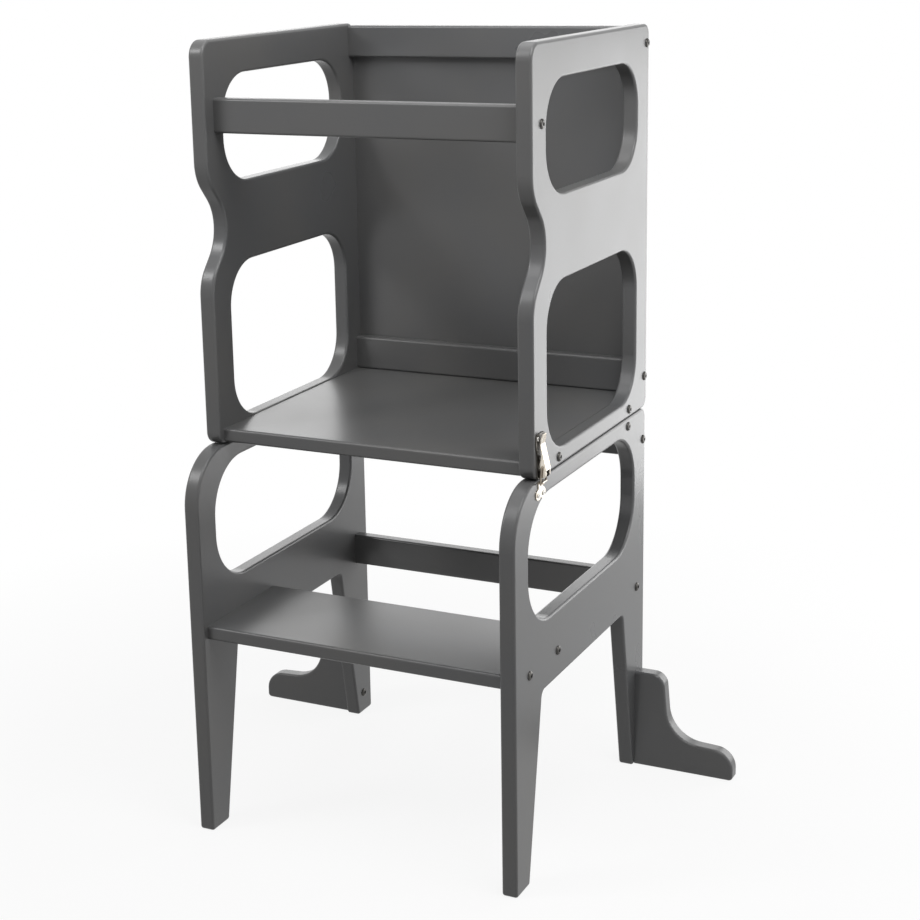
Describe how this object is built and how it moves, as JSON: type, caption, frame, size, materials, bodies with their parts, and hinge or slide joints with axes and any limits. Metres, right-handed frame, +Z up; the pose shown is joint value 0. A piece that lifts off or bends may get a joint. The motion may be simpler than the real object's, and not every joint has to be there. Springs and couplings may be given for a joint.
{
  "type": "toddler kitchen helper stool",
  "caption": "Open standing tower on splayed legs that unfolds on rear hinges into a small desk and seat, held upright by a side latch.",
  "frame": {"origin": "on the floor, in the middle of the standing stool's footprint box", "axes": "+Z up; +Y to the closed back; +X across the stool, so that -Y is the open front with the step"},
  "size_m": [0.65, 0.4072, 0.9],
  "materials": {
    "grey_paint": "satin grey paint on smooth wood board",
    "beech": "bare beech dowel",
    "black_steel": "black oxide",
    "zinc": "bright zinc plate",
    "dull_steel": "dull grey steel",
    "nickel": "nickel plate",
    "steel_wire": "plated spring wire"
  },
  "bodies": {
    "lower_frame": {"lower_right_side": "grey_paint", "lower_left_side": "grey_paint", "step_board": "grey_paint", "lower_mid_rail": "grey_paint", "lower_top_rail": "grey_paint", "lower_top_board": "grey_paint", "lower_frame_bolts": "black_steel", "lower_frame_barrel_nuts": "zinc", "lower_frame_dowels": "beech", "right_stabiliser": "grey_paint", "left_stabiliser": "grey_paint", "stabiliser_bolts": "black_steel", "stabiliser_barrel_nuts": "zinc", "hinge_lower_leaves": "nickel", "hinge_pins": "nickel", "hinge_lower_screws": "zinc", "latch_strike": "nickel", "latch_strike_screws": "zinc"},
    "tower": {"upper_right_side": "grey_paint", "upper_left_side": "grey_paint", "platform_board": "grey_paint", "back_bottom_rail": "grey_paint", "back_top_rail": "grey_paint", "back_panel": "grey_paint", "back_panel_screws": "zinc", "safety_bar": "grey_paint", "tower_bolts": "black_steel", "tower_barrel_nuts": "zinc", "tower_dowels": "beech", "hinge_upper_leaves": "nickel", "hinge_upper_screws": "zinc", "latch_base": "dull_steel", "latch_base_screws": "zinc", "latch_pivot_pin": "nickel"},
    "lever": {"latch_lever": "nickel"},
    "bail": {"latch_bail": "steel_wire"}
  },
  "joints": [
    {"name": "tower_fold", "type": "hinge", "parent": "lower_frame", "child": "tower", "pos_m": [0, 0.20065, 0.45], "axis": [-1, 0, 0], "range_deg": [0, 180]},
    {"name": "lever_turn", "type": "hinge", "parent": "tower", "child": "lever", "pos_m": [0.2065, -0.13465, 0.456], "axis": [0, 1, 0], "range_deg": [0, 130]},
    {"name": "bail_swing", "type": "hinge", "parent": "lever", "child": "bail", "pos_m": [0.2052, -0.13465, 0.465], "axis": [0, -1, 0], "range_deg": [0, 130]}
  ],
  "couplings": [
    {"joint": "bail_swing", "follows": "lever_turn", "ratio": 1}
  ]
}
